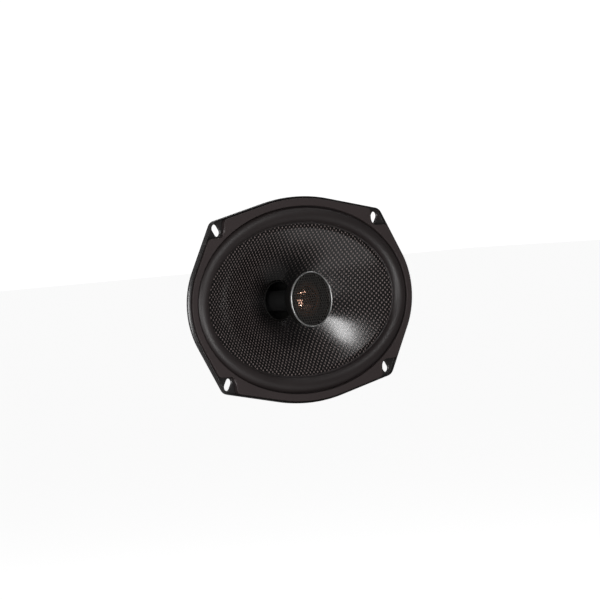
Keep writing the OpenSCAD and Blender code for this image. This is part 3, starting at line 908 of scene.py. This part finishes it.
def build_basket():
    flange = plate("flange", mirrored(flange_quarter(EDGE_INSET + 0.35)),
                   [oval_loop(WALL_A - 2.2, WALL_B - 2.2), *slot_loops()],
                   FLANGE_BACK, FLANGE_FRONT, 0.25)
    edge = outline_loft("edge", [(EDGE_INSET + inset, z) for inset, z in (
        (1.4, FLANGE_BACK), (0.9, FLANGE_BACK), (0.35, FLANGE_BACK + 0.25),
        (0.08, FLANGE_BACK + 0.7), (0.0, FLANGE_BACK + 1.2), (0.0, EDGE_TOP - 0.45),
        (0.15, EDGE_TOP - 0.12), (0.45, EDGE_TOP), (0.65, EDGE_TOP - 0.06),
        (0.76, EDGE_TOP - 0.25), (EDGE_WIDTH, FLANGE_FRONT + 0.4),
        (0.95, FLANGE_FRONT + 0.12), (1.2, FLANGE_FRONT)
    )])
    lip_back = LIP_Z - SHEET
    rim = oval_loft("rim_wall", [(WALL_A - inset, WALL_B - inset, z) for inset, z in (
        (0.0, FLANGE_BACK + 0.6), (0.0, lip_back + 1.4), (0.4, lip_back + 0.4), (1.4, lip_back),
        (7.2, lip_back), (7.5, lip_back + 0.3), (7.5, LIP_Z - 0.3), (7.2, LIP_Z),
        (1.8, LIP_Z), (1.3, LIP_Z + 0.5), (1.2, FLANGE_BACK + 0.6)
    )])
    floor_z = CUP_FLOOR_Z - CUP_SHEET
    cup = lathe("cup", [
        (LEDGE_RADIUS, LEDGE_Z), (LEDGE_RADIUS, LEDGE_Z - SHEET), (CUP_RADIUS, LEDGE_Z - SHEET),
        (CUP_RADIUS, floor_z), (CUP_BORE, floor_z), (CUP_BORE, CUP_FLOOR_Z),
        (CUP_RADIUS - CUP_SHEET, CUP_FLOOR_Z), (CUP_RADIUS - CUP_SHEET, LEDGE_Z),
    ], corner=0.9)
    pad = prism("pad", [(-9, -43), (9, -43), (9, -33), (-9, -33)],
                lambda y, z, t: place(t, y, z), -54.0, -50.4, bevel=0.5)
    arms = {phi: spoke_mesh(phi, width) for phi, width in SPOKES.items()}
    lead_holes = [(LEAD_HOLE_X, TAB_Y), (LEAD_HOLE_X, -TAB_Y)]
    drill_through(arms[TERMINAL_SPOKE], lead_holes, 2.2, -40, -10)
    piece = join("basket_pressing", [flange, edge, rim, cup, pad, *arms.values()])
    finish_piece(piece, "stamped_steel", FIXED, ["basket"])


# ---- suspension and cone

def build_surround():
    middle = ROLL_START + ROLL_WIDTH / 2
    base = FLANGE_FRONT + LAND / 2
    steps = 28

    def roll(radius, height, lift, start, end):
        return [(middle - radius * c, base + lift + height * s)
                for c, s in arc(0, 0, 1, start, end, steps)]

    inner_z = CONE_TOP + 0.1
    end_u = CONE_INSET - BARE_LIP
    over = roll(ROLL_WIDTH / 2, ROLL_HEIGHT - 0.3, 0.3, 0, 180)
    under = roll(ROLL_WIDTH / 2 - LAND, ROLL_HEIGHT - 0.35, -0.35, 180, 0)
    section = (
        [(-4, FLANGE_FRONT), (-4, FLANGE_FRONT + LAND), (0.6, FLANGE_FRONT + LAND)]
        + over
        + [(end_u - 0.5, inner_z + LAND), (end_u - 0.1, inner_z + 0.42),
           (end_u, inner_z + 0.1), (end_u - 0.1, inner_z), (end_u - 0.6, inner_z)]
        + under
        + [(0.6, FLANGE_FRONT)]
    )
    piece = oval_loft("surround_roll", [(*half_axes(u), z) for u, z in section], FINE_OVAL)
    finish_piece(piece, "surround_rubber", None, ["surround"])
    a_out, b_out = half_axes(1.5)
    a_in, b_in = half_axes(13.2)

    def share(co):
        x, y = co.x / MM, co.z / MM
        reach = math.hypot(x, y) or 1.0
        phi = math.degrees(math.atan2(y, x))
        r_out, r_in = oval_reach(a_out, b_out, phi), oval_reach(a_in, b_in, phi)
        return ease((r_out - reach) / (r_out - r_in))

    weigh(piece, share)


def cone_sheet(s):
    """Thickness of the cone a share s of the way from its bend to its neck."""
    return CONE_SHEET * (1 + 0.4 * s)


def cone_station(s, lower=0.0):
    """Half axes and height of the cone there, measured the given depth below its front."""
    a, b = half_axes(CONE_INSET)
    depth = (CONE_TOP - NECK_Z) * (CONE_STRAIGHT * s + (1 - CONE_STRAIGHT) * s * s)
    return (a + (NECK_RADIUS - a) * s, b + (NECK_RADIUS - b) * s, CONE_TOP - lower - depth)


def build_cone():
    steps = 40
    lip = half_axes(CONE_INSET - 3.8)
    front = [cone_station(i / steps) for i in range(steps + 1)]
    back = [cone_station(i / steps, cone_sheet(i / steps)) for i in range(steps, -1, -1)]
    section = [(*lip, CONE_TOP - CONE_SHEET), (*lip, CONE_TOP)] + front + back
    piece = oval_loft("woven_cone", section, FINE_OVAL)
    finish_piece(piece, "woven_cone", MOVING, ["cone"])


def build_spider():
    inner, flat, waves, depth, thick = NECK_RADIUS + 0.1, 4.5, 5, 1.5, 0.5
    steps = 20 * waves
    start = inner + flat
    run = SPIDER_RADIUS - flat - start
    glued = SPIDER_RADIUS - flat + 1.2
    middle = LEDGE_Z + thick + depth
    upper = [(inner, middle)]
    upper += [
        (start + run * i / steps, middle + depth * math.sin(2 * math.pi * waves * i / steps))
        for i in range(steps + 1)
    ]
    upper += [(glued, LEDGE_Z + thick), (SPIDER_RADIUS, LEDGE_Z + thick)]
    lower = [(r, z - thick) for r, z in reversed(upper)]
    piece = lathe("spider_disc", upper + lower)
    finish_piece(piece, "spider_cloth", None, ["spider"])

    def share(co):
        r = math.hypot(co.x, co.z) / MM
        return ease((glued - r) / (glued - start))

    weigh(piece, share)


def eyelet_place():
    """Where the cone's back meets the eyelets, as (x, z)."""
    s = 0.6
    a, b, z = cone_station(s, cone_sheet(s))
    y = 9.0
    return -a * math.sqrt(1 - (y / b) ** 2), z


def build_tinsel(name, node, sign):
    x, z = eyelet_place()
    route = [(BOARD_X - 1.8, TAB_Y, -34), (-59, TAB_Y, -32.4), (-63.5, TAB_Y, -31.5),
             (LEAD_HOLE_X, TAB_Y, -28), (-65, 6.1, -23), (-60, 6.8, -19.4), (-55, 7.6, -19.2),
             (x - 1.8, 8.7, z - 2.4)]
    piece = tube(name, [(px, sign * py, pz) for px, py, pz in route], 0.9)
    finish_piece(piece, "tinsel", None, [node])
    far, near = LEAD_HOLE_X * MM, (x - 1.8) * MM
    weigh(piece, lambda co: ease((co.x - far) / (near - far))
          * ease((-co.y / MM + 30) / 6))


# ---- motor

def build_motor():
    front_back, front_front = back_of("front_plate"), front_of("front_plate")
    magnet_back, yoke_back = back_of("ferrite_magnet"), back_of("back_plate")
    plate_r, magnet_r = half_width("front_plate"), half_width("ferrite_magnet")
    pole_top = front_of("back_plate")
    turned_piece("front_plate_disc", band(PLATE_BORE, plate_r, front_back, front_front),
                 "plated_steel", "front_plate", corner=0.5)
    turned_piece("magnet_ring", band(MAGNET_BORE, magnet_r, magnet_back, front_back),
                 "ferrite", "ferrite_magnet", corner=1.1)
    turned_piece("yoke", [
        (STUD_HOLE, yoke_back), (10.6, yoke_back), (10.9, yoke_back + 0.25),
        (plate_r - 4, yoke_back + 0.25), (plate_r - 2.2, yoke_back), (plate_r, yoke_back + 1.6),
        (plate_r, magnet_back), (POLE_RADIUS, magnet_back), (POLE_RADIUS, pole_top),
        (STUD_HOLE, pole_top)
    ], "plated_steel", "back_plate", corner=0.5)


def build_post():
    stud_end, pole_top = back_of("tweeter_post"), front_of("back_plate")
    top = front_of("tweeter_post")
    section = [(POST_BORE, stud_end), (4.6, stud_end), (STUD_RADIUS, stud_end + 0.4)]
    thread_top, pitch = stud_end + 6, 0.8
    z = stud_end + 0.6
    while z + pitch < thread_top:
        section += [(STUD_RADIUS, z), (4.62, z + pitch / 2)]
        z += pitch
    section += [(STUD_RADIUS, thread_top), (STUD_RADIUS, pole_top), (POST_RADIUS, pole_top),
                (POST_RADIUS, top), (POST_BORE, top)]
    turned_piece("post", section, "post_plastic", "tweeter_post")


def build_nut():
    back, front = back_of("post_nut"), front_of("post_nut")
    hexagon = rounded(oval_loop(8.1, 8.1, 6), 0.9, 3)
    piece = plate("nut", hexagon, [oval_loop(STUD_HOLE, STUD_HOLE, 48)], back, front, 0.45)
    finish_piece(piece, "plated_steel", FIXED, ["post_nut"])
    back, front = back_of("post_washer"), front_of("post_washer")
    turned_piece("washer", band(STUD_HOLE, 9.5, back, front), "plated_steel", "post_washer",
                 corner=0.2)


# ---- tweeter

def build_housing():
    yoke_floor = back_of("tweeter_yoke")
    section = [
        (POST_SEAT, yoke_floor - 6), (10.5, yoke_floor - 6), (11.0, yoke_floor - 1.8),
        (15.5, yoke_floor - 0.8), (18.6, yoke_floor + 1.2), (20.0, yoke_floor + 4),
        (20.9, HOUSING_FRONT - 2.6), (22, HOUSING_FRONT - 2), (22, HOUSING_FRONT),
        (21.2, HOUSING_FRONT), (20, DIAPHRAGM_Z + 0.1), (14.5, DIAPHRAGM_Z - 0.6),
        (13.55, 7.4), (13.55, yoke_floor), (POST_BORE, yoke_floor),
        (POST_BORE, yoke_floor - 2), (POST_SEAT, yoke_floor - 2),
    ]
    turned_piece("housing", section, "housing_plastic", "tweeter_housing", corner=0.8)


def build_bezel():
    r, z0, z1 = BEZEL_RADIUS, HOUSING_FRONT, TWEETER_FRONT
    section = [(r - 0.7, z0), (r, z0), (r, z1 - 0.35), (r - 0.35, z1), (r - 0.65, z1),
               (r - 0.95, z1 - 0.3), (r - 0.95, GRILLE_FRONT), (r - 0.7, GRILLE_FRONT)]
    turned_piece("bezel", section, "bright_bezel", "tweeter_bezel", corner=0.16, segments=192)


def build_grille():
    """A pressed disc, pierced with hexagonal rows of round holes and crowned a little."""
    pitch, hole_r = 2.4, 0.90
    rim_r = BEZEL_RADIUS - 0.8
    field_r = rim_r - 1.1
    crown, thickness = 1.0, 0.45
    rows = int(field_r / (pitch * math.sin(math.pi / 3))) + 1
    holes = []
    for row in range(-rows, rows + 1):
        for col in range(-rows - 2, rows + 3):
            x = pitch * (col + (0.5 if row % 2 else 0.0))
            y = pitch * math.sin(math.pi / 3) * row
            if math.hypot(x, y) < field_r - 0.2:
                holes.append(circle(x, y, hole_r, 12))
    edge = GRILLE_FRONT
    piece = plate("grille", oval_loop(rim_r, rim_r, 144), holes, edge - thickness, edge, 0.08)
    for vertex in piece.data.vertices:
        r = math.hypot(vertex.co.x, vertex.co.z) / MM
        vertex.co.y += crown * MM * (min(r, rim_r) / rim_r) ** 2
    shade(piece, 14.0)
    finish_piece(piece, "grille_metal", FIXED, ["tweeter_grille"])


def build_diaphragm():
    radius, height, thick = 10.5, front_of("tweeter_dome") - DIAPHRAGM_Z, 0.12
    sphere = (radius ** 2 + height ** 2) / (2 * height)
    centre = DIAPHRAGM_Z + height - sphere
    half_angle = math.asin(radius / sphere)
    steps = 36
    slants = [half_angle * i / steps for i in range(steps, -1, -1)]
    outer = [(sphere * math.sin(t), centre + sphere * math.cos(t)) for t in slants]
    inner = [(max(r - thick * r / sphere, 0.0), z - thick) for r, z in reversed(outer)]
    finish_piece(lathe("dome", outer + inner, 128), "dome_foil", DIAPHRAGM, ["tweeter_dome"])

    start, end = radius + 0.4, 14.4
    roll = 1.3
    middle = (start + end - 0.6) / 2
    line = [(start, DIAPHRAGM_Z - 0.5)]
    line += [(middle - roll * math.cos(math.pi * i / 16),
              DIAPHRAGM_Z - 0.5 + 0.9 * math.sin(math.pi * i / 16)) for i in range(17)]
    line += [(end, DIAPHRAGM_Z - 0.5)]
    section = line + [(r, z - 0.2) for r, z in reversed(line)]
    piece = lathe("dome_surround", section)
    finish_piece(piece, "dome_cloth", None, ["dome_suspension"])
    weigh(piece,
          lambda co: ease((middle + roll - math.hypot(co.x, co.z) / MM) / (2 * roll)))


# ---- terminals and wiring

def build_terminals():
    outline = [(-13, -53), (13, -53), (13, -38), (9.2, -38), (9.2, -32.5), (-9.2, -32.5),
               (-9.2, -38), (-13, -38)]
    board = prism("board", rounded(outline, 1.0),
                  lambda y, z, t: place(t, y, z), BOARD_X, BOARD_X + 2.0, bevel=0.2)
    finish_piece(board, "fibre_board", FIXED, ["terminal_board"])
    for name, node, width, y in (("wide_tab", "wide_terminal", 6.3, TAB_Y),
                                 ("narrow_tab", "narrow_terminal", 4.8, -TAB_Y)):
        half = width / 2
        outline = [(-half, -60.8), (-half + 1, -62), (half - 1, -62), (half, -60.8), (half, -34),
                   (1.2, -34), (1.2, -32), (-1.2, -32), (-1.2, -34), (-half, -34)]
        tab = tab_plate(name, outline, y)
        finish_piece(tab, "tab_metal", FIXED, [node])
    section = [(0, -0.95), (1.4, -0.85), (2.1, -0.5), (2.45, 0), (1.5, 0.0), (1.5, 5.0), (0, 5.0)]
    heads = [axis_lathe(f"rivet_{s}", BOARD_X - 0.8, s * TAB_Y, -38, section) for s in (1, -1)]
    finish_piece(join("board_rivets", heads), "rivet_metal", FIXED, ["terminal_rivets"])


def tab_plate(name, outline, y_centre):
    """A spade tab with its locking hole, standing on the board's outer face."""
    flat = plate(name, outline, [circle(0, -57.5, 0.9, 16)], 0.0, 0.8, 0.12)
    for vertex in flat.data.vertices:
        across, depth, along = vertex.co.x, -vertex.co.y, vertex.co.z
        vertex.co = (BOARD_X * MM - depth, -along, y_centre * MM + across)
    flat.data.update()
    return flat


def axis_lathe(name, x, y, z, section, segments=40):
    """A small turned piece whose axis runs along +X from the given point."""
    turn = full_turn(segments)
    rings = [[place(x + along, y + r * math.cos(t), z + r * math.sin(t)) for t in turn]
             for r, along in section]
    return link_mesh(name, *swept_rings(rings))


def build_plate_rivets():
    heads = []
    for i in range(4):
        t = math.radians(45 + 90 * i)
        piece = lathe(f"plate_rivet_{i}", [
            (0, -51.4), (1.95, -51.4), (1.95, CUP_FLOOR_Z), (3.4, CUP_FLOOR_Z),
            (3.2, CUP_FLOOR_Z + 0.7), (2.3, CUP_FLOOR_Z + 1.2), (0, CUP_FLOOR_Z + 1.3)
        ], 40)
        centre = place(RIVET_CIRCLE * math.cos(t), RIVET_CIRCLE * math.sin(t), 0)
        piece.data.transform(Matrix.Translation(centre))
        heads.append(piece)
    finish_piece(join("motor_rivets", heads), "rivet_metal", FIXED, ["plate_rivets"])


def build_capacitor():
    x, y, front, height, r = -53.4, 20.6, -33.0, 19.0, 5.0
    back = front - height
    body = lathe("capacitor_body", [
        (0, back + 0.3), (r - 1.1, back + 0.3), (r - 0.9, back), (r - 0.4, back), (r, back + 0.5),
        (r, back + 1.8), (r - 0.5, back + 2.4), (r - 0.5, back + 2.8), (r, back + 3.4),
        (r, front - 0.5), (r - 0.5, front), (r - 1.2, front), (r - 1.4, front - 0.2),
        (0, front - 0.2)
    ], 64)
    body.data.transform(Matrix.Translation(place(x, y, 0)))
    lead = tube("capacitor_lead", [
        (x - 1.8, y - 1, back + 0.5), (x - 1.9, y - 1, -55), (-56, 17, -56.5), (-57.4, 11.5, -56)
    ], 0.35, steps=6, sides=8, side=(1, 0, 0))
    finish_piece(body, "capacitor_sleeve", FIXED, ["crossover_capacitor"])
    finish_piece(lead, "rivet_metal", FIXED)


def build_wires():
    """Two wires: down inside the post, over the back plate and up to the board."""
    shared = [(0, 1.2, 0.4), (0, 1.2, -40), (0, 1.2, -72), (-0.6, 1.2, -79.5),
              (-4, 1.4, -82.2), (-12, 1.6, -82), (-24, 2, -79.2), (-40, 3, -77.6)]
    upper = [*shared, (-49, 5, -75.6), (-52.4, 7.2, -71), (-52.6, 9.4, -64),
             (-54.4, 11, -58.4), (-57.8, 10.2, -54.6)]
    lower = [*[(x, -y, z) for x, y, z in shared], (-49, -4, -75.6), (-52.4, -5, -71),
             (-52.6, -5.5, -64), (-53.8, -TAB_Y, -57.4), (-55, -TAB_Y, -54)]
    wires = [tube(name, route, 0.8, steps=6, sides=10)
             for name, route in (("wire_a", upper), ("wire_b", lower))]
    finish_piece(join("tweeter_wire_pair", wires), "wire_jacket", FIXED, ["tweeter_wires"])


# ---- stage, light and camera

def build_floor():
    size = 40.0
    steps = 8
    drop = -0.42
    row = steps + 1
    grid = [i / steps - 0.5 for i in range(row)]
    vertices = [(size * x, size * y, drop) for y in grid for x in grid]
    corners = [j * row + i for j in range(steps) for i in range(steps)]
    faces = [(n, n + 1, n + row + 1, n + row) for n in corners]
    floor = link_mesh("floor", vertices, faces)
    if floor.data.polygons[0].normal.z < 0:
        floor.data.flip_normals()
    g = Graph("floor_paint", Roughness=0.9, Emission_Color=(1, 1, 1, 1), Emission_Strength=0.9)
    paint = g.blend(g.noise(3.0), (0.86, 0.86, 0.86), (0.90, 0.90, 0.90))
    g.feed(g.shader.inputs["Base Color"], paint)
    floor.data.materials.append(g.material)
    floor.visible_diffuse = False
    floor.visible_glossy = False
    floor.visible_shadow = False


def softbox(name, toward, distance, size, power, roll=0.0):
    """A soft area light in a given direction, facing the speaker, turned by roll degrees."""
    data = bpy.data.lights.new(name, "AREA")
    data.shape = "RECTANGLE"
    data.size, data.size_y = size
    data.energy = power
    light = bpy.data.objects.new(name, data)
    direction = Vector(toward).normalized()
    facing = direction.to_track_quat("Z", "Y").to_matrix().to_4x4()
    turn = Matrix.Rotation(math.radians(roll), 4, "Z")
    light.matrix_world = Matrix.Translation(direction * distance) @ facing @ turn
    bpy.context.scene.collection.objects.link(light)


def build_light():
    """White behind the speaker and dark in front of it, with a few soft boxes."""
    world = bpy.data.worlds.new("studio")
    bpy.context.scene.world = world
    world.use_nodes = True
    surface = world.node_tree.nodes["Background"]
    surface.inputs["Color"].default_value = (1, 1, 1, 1)
    nodes = Nodes(world.node_tree)
    direction = nodes.node("ShaderNodeTexCoord").outputs["Generated"]
    along = nodes.node("ShaderNodeVectorMath", {0: direction, 1: VIEW_FORWARD},
                       operation="DOT_PRODUCT").outputs["Value"]
    backdrop = nodes.span(along, 0.025, 0.30, 0.55, 0.85)
    camera_ray = nodes.node("ShaderNodeLightPath").outputs["Is Camera Ray"]
    seen = nodes.math("MULTIPLY", camera_ray, 1.05)
    nodes.feed(surface.inputs["Strength"], nodes.math("MAXIMUM", backdrop, seen))

    softbox("key", (0.28, -0.80, 0.505), 1.5, (0.46, 0.13), 1.7, roll=31)
    softbox("key_spot", (-0.083, -0.82, 0.56), 1.5, (0.18, 0.18), 1.6)
    softbox("low_spot", (-0.09, -0.88, -0.47), 1.5, (0.18, 0.18), 1.6)
    softbox("low_left", (-0.30, -0.90, -0.27), 1.6, (0.95, 0.85), 8.5)
    softbox("low_right", (0.52, -0.66, -0.52), 1.7, (1.2, 0.7), 0.7)
    softbox("side_left", (-1.0, -0.55, 0.05), 1.8, (0.6, 1.0), 10.0)
    softbox("top", (0.1, 0.3, 1.0), 1.5, (1.0, 0.6), 3.0)
    softbox("top_right", (0.67, 0.05, 0.73), 1.7, (0.6, 0.5), 2.0)
    softbox("behind_left", (-0.62, 0.78, -0.02), 1.6, (0.5, 0.9), 26.0)
    softbox("behind_right", (0.5, 1.0, 0.3), 1.8, (0.7, 0.9), 6.0)


def build_camera():
    """Long lens, three-quarter view from the speaker's left, rolled a little."""
    level = VIEW_FORWARD.cross(Vector((0, 0, 1))).normalized()
    upright = level.cross(VIEW_FORWARD)
    right = math.cos(VIEW_ROLL) * level + math.sin(VIEW_ROLL) * upright
    up = right.cross(VIEW_FORWARD)
    data = bpy.data.cameras.new("camera")
    data.lens = VIEW_LENS
    data.sensor_width = 36.0
    data.clip_end = 100.0
    data.shift_x, data.shift_y = VIEW_SHIFT
    camera = bpy.data.objects.new("camera", data)
    turn = Matrix((right, up, -VIEW_FORWARD)).transposed().to_4x4()
    camera.matrix_world = Matrix.Translation(-VIEW_FORWARD * VIEW_DISTANCE) @ turn
    bpy.context.scene.collection.objects.link(camera)
    bpy.context.scene.camera = camera


build_camera()
build_light()
build_floor()
bpy.context.scene.view_settings.view_transform = "Standard"

build_trim()
build_gasket()
build_basket()
build_surround()
build_cone()
build_spider()
build_tinsel("wide_lead", "wide_tinsel_lead", 1)
build_tinsel("narrow_lead", "narrow_tinsel_lead", -1)
build_motor()
build_post()
build_nut()
build_plate_rivets()
build_housing()
build_bezel()
build_grille()
build_diaphragm()
build_terminals()
build_capacitor()
build_wires()
